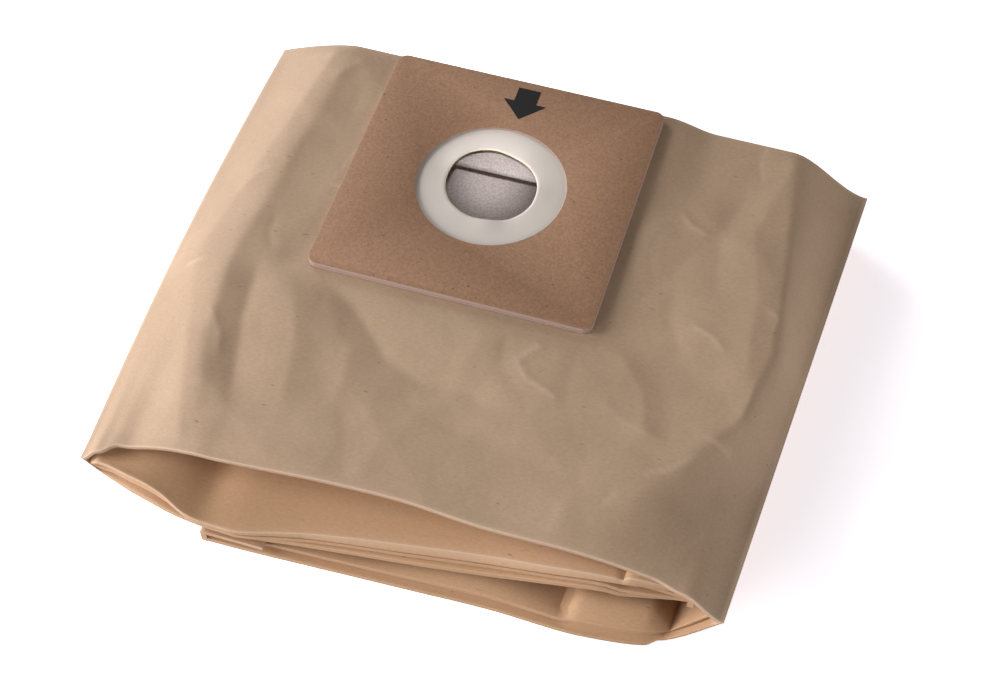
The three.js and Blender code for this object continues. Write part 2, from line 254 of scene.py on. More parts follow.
# Creases that handling has left in the top panel: height, half width and paleness (worn fibres, partly a
# painted crease highlight), then the line.
# A negative height is a valley.
creases = [
    (1.8, 24, 0.0, [(-88, 62), (-96, 10), (-108, -62), (-96, -100), (-80, -150)]),
    (-1.6, 16, 0.0, [(-80, -60), (-76, -92), (-66, -132)]),
    (0.72, 14, 0.0, [(-64, -66), (-52, -95), (-46, -130)]),
    (-2.0, 20, 0.0, [(-58, -58), (-32, -76), (-14, -93), (2, -99), (24, -99)]),
    (0.3, 5, 0.5, [(42, -71), (35, -80), (41, -87), (54, -92)]),
    (-0.3, 6, 0.0, [(28, -68), (30, -84), (46, -98)]),
    (0.36, 6, 0.5, [(96, -43), (106, -47), (113, -53)]),
    (0.42, 7, 0.45, [(112, -92), (128, -93), (143, -88)]),
    (0.42, 9, 0.2, [(70, -88), (84, -95), (101, -99)]),
    (0.42, 6, 0.45, [(78, 13), (85, 6), (95, 3)]),
    (-0.48, 9, 0.0, [(86, -24), (88, -44), (99, -62)]),
    (0.24, 4, 0.5, [(122, -26), (131, -31), (139, -30)]),
    (0.3, 6, 0.4, [(-66, -16), (-63, -5), (-61, 6)]),
    (0.36, 6, 0.4, [(-86, 38), (-80, 48), (-74, 56)]),
    (0.42, 5, 0.4, [(-92, -88), (-82, -101), (-79, -112)]),
    (0.36, 5, 0.5, [(-118, -66), (-108, -68), (-101, -64)]),
    (0.36, 6, 0.3, [(-104, -29), (-98, -17), (-90, -13)]),
    (0.48, 10, 0.15, [(132, -98), (126, -122), (112, -146)]),
    (0.6, 12, 0.1, [(70, -62), (86, -80), (94, -104)]),
    (-0.54, 12, 0.0, [(104, 40), (98, 0), (104, -30)]),
    (0.54, 14, 0.1, [(118, 55), (110, 10), (118, -20), (122, -60)]),
    (-0.48, 12, 0.0, [(0, -112), (40, -118), (90, -128)]),
    (0.42, 12, 0.0, [(-20, -110), (-4, -128), (-10, -150)]),
]
chance = random.Random(11)
for i in range(18):
    x = chance.uniform(-112, 138)
    y = chance.uniform(-146, 58)
    turn = chance.uniform(0, math.pi)
    reach = chance.uniform(4, 15)
    bend = chance.uniform(-0.5, 0.5)
    line = [
        (x - reach * math.cos(turn), y - reach * math.sin(turn)),
        (x, y),
        (x + reach * math.cos(turn + bend), y + reach * math.sin(turn + bend)),
    ]
    height = chance.choice((-1, 1)) * chance.uniform(0.1, 0.25)
    width = chance.uniform(2.5, 5)
    creases.append((height, width, chance.uniform(0.1, 0.5), line))
crease_boxes = []
for height, width, pale, line in creases:
    xs = [point[0] for point in line]
    ys = [point[1] for point in line]
    crease_boxes.append((min(xs) - width, max(xs) + width, min(ys) - width, max(ys) + width))


def line_distance(x, y, line):
    """Distance from a place to a bent line, and how far along the line its foot lies, from 0 to 1."""
    best = 1e9
    share = 0
    for k in range(len(line) - 1):
        ax, ay = line[k]
        dx = line[k + 1][0] - ax
        dy = line[k + 1][1] - ay
        t = min(1, max(0, ((x - ax) * dx + (y - ay) * dy) / (dx * dx + dy * dy)))
        away = math.hypot(x - ax - t * dx, y - ay - t * dy)
        if away < best:
            best = away
            share = (k + t) / (len(line) - 1)
    return best, share


# Shallow bowls that meet at sharp ridges, as crumpled paper has them, as (x shift, y shift, size,
# height). A negative height makes them mounds.
bowls = [(0, 0, 40, 1.1), (300, 0, 46, -1.1), (0, 300, 17, 0.22), (300, 300, 20, -0.22)]
wave_size = 52
wave_height = 1.5


def bowl_height(x, y, size, height):
    bend = noise.noise(Vector((x / size, y / size, 0.5))) * 0.35
    place = Vector((x / size + bend, y / size - bend, 0.5))
    return noise.voronoi(place, distance_metric="DISTANCE_SQUARED")[0][0] * height


def crumple(x, y):
    """Height in millimetres that creases and dents give the top panel, and how pale the paper is: worn
    fibres and a painted crease highlight.
    """
    outside = max(abs(x), abs(y)) - card_half
    if outside < 0:
        return 0, 0
    rise = noise.noise(Vector((x / wave_size, y / wave_size, 3.1))) * wave_height
    rise += sum(bowl_height(x + dx, y + dy, size, height) for dx, dy, size, height in bowls)
    pale = 0
    for (height, width, worn_and_highlit, line), (x0, x1, y0, y1) in zip(creases, crease_boxes):
        if not (x0 < x < x1 and y0 < y < y1):
            continue
        away, share = line_distance(x, y, line)
        if away < width:
            fade = min(1, 5 * share, 5 * (1 - share)) if len(line) < 4 else 1
            slack = 1 - away / width
            rise += height * slack * slack * (1.5 - 0.5 * slack) * fade
            pale = max(pale, worn_and_highlit * max(0, 1 - away / 1.5) * fade)
    free = smooth_step(-1, 12, outside)
    return rise * free, pale


def crumpled_panel(x, y, lip_height):
    """Height of the top panel with its creases, and how pale the paper is (worn fibres and a painted crease
    highlight), at the true x.
    """
    rise, pale = crumple(x, y)
    side = -1 if x < 0 else 1
    calm = smooth_step(-1, 7, y - near_edge) * smooth_step(-1, 8, far_edge - y)
    calm *= smooth_step(0, 7, side * (fold_edge(side, y) - x))
    return top_panel(x, y, lip_height) + rise * calm, pale


fold_radius = 0.35


def lip(high_y, high, low_y, low, out):
    """Crease where a panel turns under into its gusset, from the panel's side to the gusset's."""
    r = fold_radius
    # The third number is paleness: worn fibres, and a painted highlight along the crease's upper edge.
    return [
        (high_y - out * r, high, 0.25),
        (high_y - out * r * 0.3, high - r * 0.3, 0.9),
        (high_y, high - r, 0.35),
        (low_y, low + r, 0),
        (low_y - out * r * 0.3, low + r * 0.3, 0.2),
        (low_y - out * r, low, 0),
    ]


def sheet(start, end, steps, bulge, lean=1):
    """Points between two ends of a loose sheet, which bulges most near its end when it leans."""
    points = []
    for t in [0.02] + [i / steps for i in range(1, steps)] + [0.985]:
        swell = bulge * math.sin(math.pi * (1 - (1 - t) ** lean))
        points.append((mix(start[0], end[0], t), mix(start[1], end[1], t) + swell, 0))
    return points


def section(ply, lips, height, low_height, tuck, swell):
    """A ply's section as (y, height over its inner panel, wear and painted crease highlight, tucked). A ply
    is (inset, fine or not).

    The lips are the near edges of the upper panel, of its gusset's lower fold and of the lower panel.
    """
    inset, fine = ply
    top, low, under = lips
    near_height = height(top)[0] - inset
    far_height = height(far_edge)[0] - inset
    near_tuck = mix(tube_thickness / 2, near_height - tube_thickness / 2, tuck)
    far_tuck = mix(tube_thickness / 2, far_height - tube_thickness / 2, 0.7)
    nib = 0.4
    half = 0.15 + inset
    near_in = near_edge + gusset_depth + inset
    far_in = far_edge - gusset_depth - inset
    near_fold = near_height - fold_thickness + 2 * inset
    far_fold = far_height - fold_thickness + 2 * inset
    near_top = lip(top + inset, near_height, top + inset, near_fold, -1)
    near_low = lip(low + inset, low_height - inset, under + inset * (1 + 1.2 * (low - under)), inset, -1)
    far_low = lip(far_edge - inset, fold_thickness - inset, far_edge - inset, inset, 1)[::-1]
    far_top = lip(far_edge - inset, far_height, far_edge - inset, far_fold, 1)[::-1]
    # The inner creases are paler: worn fibres and a painted crease highlight.
    near_crease = [
        (near_in - nib, near_tuck + half, 0.3), (near_in, near_tuck, 0.6),
        (near_in - nib, near_tuck - half, 0.3),
    ]
    far_crease = [
        (far_in + nib, far_tuck - half, 0.3), (far_in, far_tuck, 0.6),
        (far_in + nib, far_tuck + half, 0.3),
    ]
    steps = 12 if fine else 8
    points = list(near_top)
    points += sheet(near_top[-1], near_crease[0], steps, -1)
    points += near_crease
    points += sheet(near_crease[-1], near_low[0], steps, swell, 0.6)
    points += near_low
    points += sheet(near_low[-1], far_low[0], 22 if fine else 16, 0)
    points += far_low
    points += sheet(far_low[-1], far_crease[0], steps, 1)
    points += far_crease
    points += sheet(far_crease[-1], far_top[0], steps, -1)
    points += far_top
    far_end = len(points) - 4
    panel_steps = 126 if fine else 60
    for i in range(1, panel_steps):
        y = mix(far_top[-1][0], near_top[0][0], i / panel_steps)
        rise, pale = height(y)
        points.append((y, rise - inset, pale))
    last = near_top[0][0] + 0.6
    points.append((last, height(last)[0] - inset, 0.1))
    # Tucked points, all but the top panel and its lips, get the painted warm bounce tint.
    return [
        (y, n, worn_and_highlit, 1 if 3 < i < far_end else 0)
        for i, (y, n, worn_and_highlit) in enumerate(points)
    ]


def tube_row(ply, skew, lips, height, low_height, place, worn_and_highlit=0, painted_bounce=0, tuck=0.5, swell=1):
    """One row of (x, y, z, wear and painted crease highlight, painted warm bounce) round a ply. place(y, n)
    puts a point of the section in the bag.
    """
    row = []
    for y, n, wear_and_highlight, tucked in section(ply, lips, height, low_height, tuck, swell):
        x, z = place(y, n)
        wear_and_highlight = max(wear_and_highlight, worn_and_highlit * smooth_step(3, tube_thickness, n))
        row.append((x + skew * (y - middle_depth), y, z, wear_and_highlight, max(painted_bounce, tucked)))
    return row


def flat_height(y):
    return tube_thickness, 0


def inner_layer(ply):
    """Rows of the short inner layer, which lies upside down under the puffed one, to the left fold."""
    inset, fine = ply
    steps = 46 if fine else 30
    rows = []
    for i in range(steps):
        x = mix(inner_end - inset, left_fold, i / steps)
        gape = along(inner_mouth, x)
        top = inner_lip(x)
        under = low_lip(x) - along(low_lip_spread, x)

        def place(y, n):
            open_here = gape * (1 - smooth_step(top + 2, top + 22, y)) * smooth_step(1.5, 3.5, n)
            return x, belly(x, y) - gap_under_belly(x) - n - open_here

        lips = (top, under + 0.5, under + 0.3)
        rows.append(tube_row(ply, left_skew, lips, flat_height, fold_thickness, place, 0, 1))
    return rows


# Places of the rows round a fold: 0 is where the puffed layer ends, 1 the fold's outermost line and 2
# where the layer below starts.
turn_shares = [0, 0.2, 0.4, 0.6, 0.75, 0.87, 0.95, 1, 1.05, 1.12, 1.22, 1.36, 1.52, 1.7, 1.86, 2]


def turn_height(fold, skew, y, share):
    """Height of the tube at a fold, which sinks round the turn from puffed to flat."""
    full = crumpled_panel(fold + skew * (y - middle_depth), y, lip_top(fold))[0] - belly(fold, y)
    return mix(full, turn_thickness, share) if share < 1 else mix(turn_thickness, tube_thickness, share - 1)


def left_turn(ply):
    """Rows round the left fold, from the inner layer up to the puffed one."""
    inside_reach = 1.5
    inside_drop = 0.4
    low = low_lip(left_fold)
    rows = []
    for share in turn_shares[::-1]:
        def height(y):
            return turn_height(left_fold, left_skew, y, share), 0

        def place(y, n):
            slant = left_skew * (y - middle_depth)
            out = n / height(y)[0]
            level = belly(left_fold, y)
            edge = fold_edge(-1, y) - slant
            if share <= 1:
                x = mix(left_fold, edge, share)
                lip_height = mix(lip_top(left_fold), fold_height(-1, y), smooth_step(0, 1, share))
                outer = crumpled_panel(x + slant, y, lip_height)[0]
                inner = mix(level, level - inside_drop, share)
                return mix(left_fold - inside_reach * share, x, out), mix(inner, outer, out)
            t = share - 1
            x = mix(edge, left_fold + 3, t ** 0.8)
            outer = mix(fold_height(-1, y), level - layer_gap - tube_thickness, 1 - (1 - t) ** 1.5)
            inner = level - mix(inside_drop, layer_gap, t)
            return mix(left_fold - inside_reach * (1 - t), x, out), mix(inner, outer, out)

        lips = (mix(top_lip(left_fold), inner_lip(left_fold), share / 2), low, low)
        # The fold's outermost line is paler: worn fibres and a painted highlight.
        worn_and_highlit = 0.7 if 0.94 < share < 1.06 else 0
        rows.append(tube_row(ply, left_skew, lips, height, fold_thickness, place, worn_and_highlit, max(0, share - 1)))
    return rows


def puffed_layer(ply):
    """Rows of the puffed layer under the collar, from the left fold to the right one."""
    steps = 160 if ply[1] else 72
    rows = []
    for i in range(1, steps):
        x = mix(left_fold, right_fold, i / steps)
        skew = mix(left_skew, right_skew, i / steps)
        lips = (top_lip(x), low_lip(x), low_lip(x) - along(low_lip_spread, x))

        def height(y):
            rise, pale = crumpled_panel(x + skew * (y - middle_depth), y, lip_top(x))
            return rise - belly(x, y), pale

        def place(y, n):
            return x, belly(x, y) + n

        rows.append(tube_row(
            ply, skew, lips, height, fold_thickness + along(flap_step, x), place,
            0, 0, along(floor_tuck, x), along(floor_swell, x),
        ))
    return rows


def right_turn(ply):
    """Rows round the right fold, from the puffed layer down to the bottom one."""
    inside_reach = 9
    inside_drop = 2.6
    rows = []
    for share in turn_shares:
        def height(y):
            return turn_height(right_fold, right_skew, y, share), 0

        def place(y, n):
            slant = right_skew * (y - middle_depth)
            out = n / height(y)[0]
            level = belly(right_fold, y)
            edge = fold_edge(1, y) - slant
            fold_z = fold_height(1, y)
            if share <= 1:
                x = mix(right_fold, edge, share)
                lip_height = mix(lip_top(right_fold), fold_z, smooth_step(0, 1, share))
                outer = crumpled_panel(x + slant, y, lip_height)[0]
                inner = mix(level, fold_z - inside_drop, share)
                return mix(right_fold + inside_reach * share, x, out), mix(inner, outer, out)
            t = share - 1
            x = mix(edge, bottom_start, t ** 0.9)
            outer = mix(fold_z, 0, 1 - (1 - t) ** 1.5)
            inner = mix(fold_z - inside_drop, tube_thickness, t)
            return mix(right_fold + mix(inside_reach, -3, t), x, out), mix(inner, outer, out)

        top = mix(top_lip(right_fold), bottom_lip(right_fold), share / 2)
        low = mix(low_lip(right_fold), bottom_lip(right_fold) + bottom_lip_step, share / 2)
        # The fold's outermost line is paler: worn fibres and a painted highlight.
        worn_and_highlit = 0.6 if 0.94 < share < 1.06 else 0
        rows.append(tube_row(
            ply, right_skew, (top, low, low), height, fold_thickness, place, worn_and_highlit, max(0, share - 1),
        ))
    return rows


def bottom_layer(ply):
    """Rows of the bottom layer, which lies upside down on the table, to its end."""
    inset, fine = ply
    steps = 60 if fine else 36
    rows = []
    for i in range(1, steps + 1):
        x = mix(bottom_start, bottom_end + inset, i / steps)
        top = bottom_lip(x)
        bulge = along(bottom_bulge, x)

        def place(y, n):
            lift = bulge * smooth_step(top + 1, top + 9, y) * (1 - smooth_step(-100, -60, y))
            return x, tube_thickness - n + lift * max(0, 1 - n / tube_thickness)

        lips = (top, top + bottom_lip_step, top + bottom_lip_step)
        rows.append(tube_row(ply, right_skew, lips, flat_height, fold_thickness, place, 0, 1))
    return rows


def tube(ply):
    """Rows round a ply of the whole tube, from the inner end to the bottom end."""
    return inner_layer(ply) + left_turn(ply) + puffed_layer(ply) + right_turn(ply) + bottom_layer(ply)


def add_skin(shape, wear_and_highlight_layer, painted_bounce_layer, rows, inward):
    """Adds a closed skin through the rows to the shape, facing inward for the wall's inner side."""
    made = []
    for row in rows:
        verts = []
        for x, y, z, wear_and_highlight, painted_bounce in row:
            vert = shape.verts.new(spot(x, y, z))
            vert[wear_and_highlight_layer] = wear_and_highlight
            vert[painted_bounce_layer] = painted_bounce
            verts.append(vert)
        made.append(verts)
    faces = []
    for a, b in zip(made, made[1:]):
        for j in range(len(a)):
            k = (j + 1) % len(a)
            faces.append(shape.faces.new((a[j], a[k], b[k], b[j])))
    ends = [shape.faces.new(made[0][::-1]), shape.faces.new(made[-1])]
    faces += bmesh.ops.triangulate(shape, faces=ends)["faces"]
    if inward:
        bmesh.ops.reverse_faces(shape, faces=[face for face in faces if face.is_valid])


def add_object(name, shape):
    """Object at the origin from a bmesh, which is freed."""
    mesh = bpy.data.meshes.new(name)
    shape.to_mesh(mesh)
    shape.free()
    made = bpy.data.objects.new(name, mesh)
    bpy.context.scene.collection.objects.link(made)
    return made


def select_only(made):
    bpy.ops.object.select_all(action="DESELECT")
    made.select_set(True)
    bpy.context.view_layer.objects.active = made


def cut(made, cutter):
    """Cuts one object out of another and removes the cutter."""
    select_only(made)
    boolean = made.modifiers.new("cut", "BOOLEAN")
    boolean.object = cutter
    boolean.operation = "DIFFERENCE"
    boolean.solver = "EXACT"
    bpy.ops.object.modifier_apply(modifier=boolean.name)
    bpy.data.objects.remove(cutter)


def round_cutter(radius, low, high):
    bpy.ops.object.select_all(action="DESELECT")
    bpy.ops.mesh.primitive_cylinder_add(
        vertices=96, radius=radius * MM, depth=(high - low) * MM, location=spot(0, 0, (low + high) / 2)
    )
    return bpy.context.object


def make_paper_tube(name, outside, thickness, fine):
    """Paper tube with its wall, and the inlet cut through its top panel. The cut's doubles are merged."""
    shape = bmesh.new()
    # The layers carry paleness (worn fibres and a painted crease highlight) and the painted warm bounce tint
    # of tucked-in paper.
    wear_and_highlight_layer = shape.verts.layers.float.new("wear_and_highlight")
    painted_bounce_layer = shape.verts.layers.float.new("painted_bounce")
    add_skin(shape, wear_and_highlight_layer, painted_bounce_layer, tube((outside, fine)), False)
    add_skin(shape, wear_and_highlight_layer, painted_bounce_layer, tube((outside + thickness, False)), True)
    made = add_object(name, shape)
    cut(made, round_cutter(inlet_radius, puffed_height - 3, puffed_height + 1))
    shape = bmesh.new()
    shape.from_mesh(made.data)
    bmesh.ops.remove_doubles(shape, verts=shape.verts, dist=0.002 * MM)
    open_edges = [edge for edge in shape.edges if len(edge.link_faces) == 1]
    if open_edges:
        bmesh.ops.holes_fill(shape, edges=open_edges)
    loose = [edge for edge in shape.edges if not edge.link_faces]
    bmesh.ops.delete(shape, geom=loose, context="EDGES")
    shape.to_mesh(made.data)
    shape.free()
    select_only(made)
    bpy.ops.object.shade_smooth_by_angle(angle=math.radians(50))
    return made


def add_hem(shape, wear_and_highlight_layer, painted_bounce_layer, end, side, skew, lips, level):
    """Closed strip: the end of the tube, turned over onto its layer and glued down."""
    flap_low = ply_gap
    flap_high = ply_gap + fold_thickness
    front = fold_thickness
    back = -hem_width
    tuck_in = -0.2
    r = 0.5
    # The third number is paleness at the hem's edges: worn fibres and a painted highlight.
    profile = [
        (tuck_in, -tube_thickness, 0), (front - r, -tube_thickness, 0.4), (front, r - tube_thickness, 0.8),
        (front, -tube_thickness / 2, 0.2), (front, 0, 0.2), (front, flap_high - r, 0.6),
        (front - r, flap_high, 1), (0, flap_high, 0.2),
    ]
    flap_steps = 10
    profile += [(back * k / flap_steps, flap_high, 0) for k in range(1, flap_steps)]
    profile += [(back + r, flap_high, 0.5), (back, flap_high - r, 0.9), (back, flap_low, 0.5)]
    profile += [(back * k / flap_steps, flap_low, 0) for k in range(flap_steps - 1, 0, -1)]
    profile.append((tuck_in, flap_low, 0))
    depth_steps = 60
    rings = []
    for i in range(depth_steps + 1):
        y = mix(lips, far_edge, i / depth_steps)
        ring = []
        for e, h, wear_and_highlight in profile:
            x = end + side * min(0, e)
            wobble = 0.25 * noise.noise(Vector((x / 7, y / 11, 5)))
            out = end + side * e + skew * (y - middle_depth) + wobble
            vert = shape.verts.new(spot(out, y, level(x, y) + h))
            vert[wear_and_highlight_layer] = wear_and_highlight
            # The hem lies tucked under, so it gets the painted warm bounce tint.
            vert[painted_bounce_layer] = 1
            ring.append(vert)
        rings.append(ring)
    faces = []
    for a, b in zip(rings, rings[1:]):
        for j in range(len(a)):
            k = (j + 1) % len(a)
            faces.append(shape.faces.new((a[j], a[k], b[k], b[j])))
    faces += [shape.faces.new(rings[0][::-1]), shape.faces.new(rings[-1])]
    if side > 0:
        bmesh.ops.reverse_faces(shape, faces=faces)


def add_hems(made):
    """Adds both glued ends to the kraft tube."""
    shape = bmesh.new()
    shape.from_mesh(made.data)
    wear_and_highlight_layer = shape.verts.layers.float["wear_and_highlight"]
    painted_bounce_layer = shape.verts.layers.float["painted_bounce"]
    add_hem(
        shape, wear_and_highlight_layer, painted_bounce_layer, inner_end, 1, left_skew, low_lip(inner_end),
        lambda x, y: belly(x, y) - gap_under_belly(x),
    )
    add_hem(
        shape, wear_and_highlight_layer, painted_bounce_layer, bottom_end, -1, right_skew, bottom_lip(bottom_end),
        lambda x, y: tube_thickness,
    )
    shape.to_mesh(made.data)
    shape.free()


inlet_radius = 23
outer_bag = make_paper_tube("kraft_bag", 0, kraft_thickness, True)
add_hems(outer_bag)
select_only(outer_bag)
bpy.ops.object.shade_smooth_by_angle(angle=math.radians(50))
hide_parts("outer_bag")
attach(outer_bag, "root")


def linear(code):
    """Linear RGBA, as shaders take it, of an sRGB hex colour."""
    parts = [int(code[i:i + 2], 16) / 255 for i in (1, 3, 5)]
    return [p / 12.92 if p <= 0.04045 else ((p + 0.055) / 1.055) ** 2.4 for p in parts] + [1]


def add_node(tree, kind, inputs=None, **settings):
    """Adds a shader node with its settings. An input is a value, or the socket that feeds it."""
    node = tree.nodes.new(kind)
    for name, value in settings.items():
        setattr(node, name, value)
    for name, value in (inputs or {}).items():
        if isinstance(value, bpy.types.NodeSocket):
            tree.links.new(value, node.inputs[name])
        else:
            node.inputs[name].default_value = value
    return node


def new_material(name):
    material = bpy.data.materials.new(name)
    material.use_nodes = True
    material.node_tree.nodes.clear()
    return material, material.node_tree


# Unbleached kraft paper: a matt brown sheet with a slight sheen, cloudy where the pulp lies thicker,
# with fine fibres and a few dark shives. Creases are paler, partly from broken fibres and partly a
# painted highlight; tucked-in paper is painted a warmer orange brown, as painted bounce light.
kraft, tree = new_material("kraft_paper_unbleached")
place = add_node(tree, "ShaderNodeTexCoord").outputs["Object"]
cloud = add_node(tree, "ShaderNodeTexNoise", {"Vector": place, "Scale": 1 / (24 * MM), "Detail": 3})
cloudy = add_node(tree, "ShaderNodeMix", {
    "Factor": cloud.outputs["Fac"], 6: linear("#ad9075"), 7: linear("#ba9d82"),
}, data_type="RGBA")
# Painted bounce light: tucked-in paper is painted a warmer orange brown in place of the light bounced
# between the folds.
painted_bounce = add_node(tree, "ShaderNodeAttribute", attribute_name="painted_bounce")
painted_bounce_brown = add_node(tree, "ShaderNodeMix", {
    "Factor": painted_bounce.outputs["Fac"], 6: cloudy.outputs[2], 7: linear("#bb936f"),
}, data_type="RGBA")
fibre_place = add_node(tree, "ShaderNodeMapping", {
    "Vector": place, "Scale": (1 / (1.9 * MM), 1 / (0.7 * MM), 1 / (0.7 * MM)),
})
fibre = add_node(tree, "ShaderNodeTexNoise", {
    "Vector": fibre_place.outputs["Vector"], "Scale": 1, "Detail": 5, "Roughness": 0.65,
})
fibre_range = add_node(tree, "ShaderNodeMapRange", {
    "Value": fibre.outputs["Fac"], "From Min": 0.3, "From Max": 0.7, "To Min": 0.91, "To Max": 1.09,
})
fibrous = add_node(tree, "ShaderNodeMix", {
    "Factor": 1, 6: painted_bounce_brown.outputs[2], 7: fibre_range.outputs["Result"],
}, data_type="RGBA", blend_type="MULTIPLY")
shive_place = add_node(tree, "ShaderNodeMapping", {
    "Vector": place, "Rotation": (0, 0, 0.2), "Scale": (1 / (5 * MM), 1 / (1.4 * MM), 1 / (1.4 * MM)),
})
shive = add_node(tree, "ShaderNodeTexNoise", {
    "Vector": shive_place.outputs["Vector"], "Scale": 1, "Detail": 1,
})
shive_range = add_node(tree, "ShaderNodeMapRange", {
    "Value": shive.outputs["Fac"], "From Min": 0.765, "From Max": 0.8, "To Min": 0, "To Max": 0.6,
})
with_shives = add_node(tree, "ShaderNodeMix", {
    "Factor": shive_range.outputs["Result"], 6: fibrous.outputs[2], 7: linear("#7a6050"),
}, data_type="RGBA")
# Paler at creases and folds: worn fibres, and a painted highlight along their edges.
wear_and_highlight = add_node(tree, "ShaderNodeAttribute", attribute_name="wear_and_highlight")
worn_and_highlit = add_node(tree, "ShaderNodeMix", {
    "Factor": wear_and_highlight.outputs["Fac"], 6: with_shives.outputs[2], 7: linear("#d3b79e"),
}, data_type="RGBA")
grain = add_node(tree, "ShaderNodeBump", {
    "Height": fibre.outputs["Fac"], "Strength": 0.2, "Distance": 0.1 * MM,
})
surface = add_node(tree, "ShaderNodeBsdfPrincipled", {
    "Base Color": worn_and_highlit.outputs[2], "Normal": grain.outputs["Normal"],
    "Roughness": 0.68, "Specular IOR Level": 0.4,
})
add_node(tree, "ShaderNodeOutputMaterial", {"Surface": surface.outputs["BSDF"]})
outer_bag.data.materials.append(kraft)

# Filter liner
# The inner ply: a tube of soft white filter paper, creased together with the kraft ply.
liner_thickness = 0.3
liner = make_paper_tube("filter_liner_paper", kraft_thickness + ply_gap, liner_thickness, False)
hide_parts("filter_liner")
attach(liner, "root")

# White filter paper: soft and matt, finely flecked where its loose fibres cross.
filter_paper, tree = new_material("filter_paper_white")
place = add_node(tree, "ShaderNodeTexCoord").outputs["Object"]
fleck = add_node(tree, "ShaderNodeTexNoise", {"Vector": place, "Scale": 1 / (0.9 * MM), "Detail": 3})
fleck_range = add_node(tree, "ShaderNodeMapRange", {
    "Value": fleck.outputs["Fac"], "From Min": 0.35, "From Max": 0.6,
})
flecked = add_node(tree, "ShaderNodeMix", {
    "Factor": fleck_range.outputs["Result"], 6: linear("#d5c8c5"), 7: linear("#efe3de"),
}, data_type="RGBA")
surface = add_node(tree, "ShaderNodeBsdfPrincipled", {"Base Color": flecked.outputs[2], "Roughness": 0.9})
add_node(tree, "ShaderNodeOutputMaterial", {"Surface": surface.outputs["BSDF"]})
liner.data.materials.append(filter_paper)

# Collar cards
# Two squares of brown grey board, die cut with rounded corners and a round window, and glued
# together round the rim of the seal. The thinner back card is glued to the bag.
collar_corner = 4
window_radius = 31.7
membrane_grip = 6
grip_clearance = 0.3


def make_card(name, node, hole_radius):
    """Square card of a node's size, with its corners rounded and its round hole cut."""
    low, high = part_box(node)
    bpy.ops.object.select_all(action="DESELECT")
    bpy.ops.mesh.primitive_cube_add(size=1, location=(low + high) / 2, scale=high - low)
    card = bpy.context.object
    card.name = name
    bpy.ops.object.transform_apply(location=True, rotation=True, scale=True)
    bpy.ops.object.mode_set(mode="EDIT")
    bpy.ops.mesh.select_mode(type="EDGE")
    bpy.ops.mesh.select_all(action="DESELECT")
    bpy.ops.object.mode_set(mode="OBJECT")
    for edge in card.data.edges:
        a, b = (card.data.vertices[k].co for k in edge.vertices)
        edge.select = abs(a.z - b.z) > 0.5 * (high.z - low.z)
    bpy.ops.object.mode_set(mode="EDIT")
    bpy.ops.mesh.bevel(offset=collar_corner * MM, segments=10)
    bpy.ops.object.mode_set(mode="OBJECT")
    cut(card, round_cutter(hole_radius, low.z / MM - 1, high.z / MM + 1))
    return card


def finish_card(card, node):
    """Merges a cut card's doubles, breaks its sharp edges and puts it in its node's place."""
    select_only(card)
    bpy.ops.object.mode_set(mode="EDIT")
    bpy.ops.mesh.select_all(action="SELECT")
    bpy.ops.mesh.remove_doubles(threshold=0.01 * MM)
    bpy.ops.object.mode_set(mode="OBJECT")
    edge = card.modifiers.new("cut_edge", "BEVEL")
    edge.width = 0.25 * MM
    edge.segments = 2
    edge.limit_method = "ANGLE"
    edge.angle_limit = math.radians(50)
    select_only(card)
    bpy.ops.object.modifier_apply(modifier=edge.name)
    bpy.ops.object.shade_smooth_by_angle(angle=math.radians(40))
    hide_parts(node)
    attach(card, "root")


membrane_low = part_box("seal_membrane")[0].z / MM
membrane_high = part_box("seal_membrane")[1].z / MM
front_card = make_card("front_card", "collar_front_card", window_radius)
# The seal's rim lies in a pocket round the window, cut from below.
rim_pocket = round_cutter(
    window_radius + membrane_grip + grip_clearance, card_low.z / MM - 1, membrane_high + grip_clearance,
)
cut(front_card, rim_pocket)
finish_card(front_card, "collar_front_card")
back_card = make_card("back_card", "collar_back_card", inlet_radius)
finish_card(back_card, "collar_back_card")

# Grey board, brown on its face: matt, mottled by its short fibres and flecked with a few dark ones.
board, tree = new_material("grey_board_brown")
place = add_node(tree, "ShaderNodeTexCoord").outputs["Object"]
mottle = add_node(tree, "ShaderNodeTexNoise", {
    "Vector": place, "Scale": 1 / (1.1 * MM), "Detail": 4, "Roughness": 0.7,
})
mottle_range = add_node(tree, "ShaderNodeMapRange", {
    "Value": mottle.outputs["Fac"], "From Min": 0.3, "From Max": 0.7,
})
mottled = add_node(tree, "ShaderNodeMix", {
    "Factor": mottle_range.outputs["Result"], 6: linear("#8d6950"), 7: linear("#ab8263"),
}, data_type="RGBA")
speck = add_node(tree, "ShaderNodeTexNoise", {"Vector": place, "Scale": 1 / (2.4 * MM), "Detail": 1})
speck_range = add_node(tree, "ShaderNodeMapRange", {
    "Value": speck.outputs["Fac"], "From Min": 0.75, "From Max": 0.8, "To Min": 0, "To Max": 0.6,
})
specked = add_node(tree, "ShaderNodeMix", {
    "Factor": speck_range.outputs["Result"], 6: mottled.outputs[2], 7: linear("#5d4030"),
}, data_type="RGBA")
surface = add_node(tree, "ShaderNodeBsdfPrincipled", {"Base Color": specked.outputs[2], "Roughness": 0.8})
add_node(tree, "ShaderNodeOutputMaterial", {"Surface": surface.outputs["BSDF"]})

# The die cuts through the grey core of the board, which is paler than its face.
cut_board, tree = new_material("grey_board_cut_edge")
surface = add_node(tree, "ShaderNodeBsdfPrincipled", {"Base Color": linear("#a38b80"), "Roughness": 0.85})
add_node(tree, "ShaderNodeOutputMaterial", {"Surface": surface.outputs["BSDF"]})
for card in (front_card, back_card):
    card.data.materials.append(board)
    card.data.materials.append(cut_board)
    for face in card.data.polygons:
        face.material_index = 1 if abs(face.normal.z) < 0.8 else 0

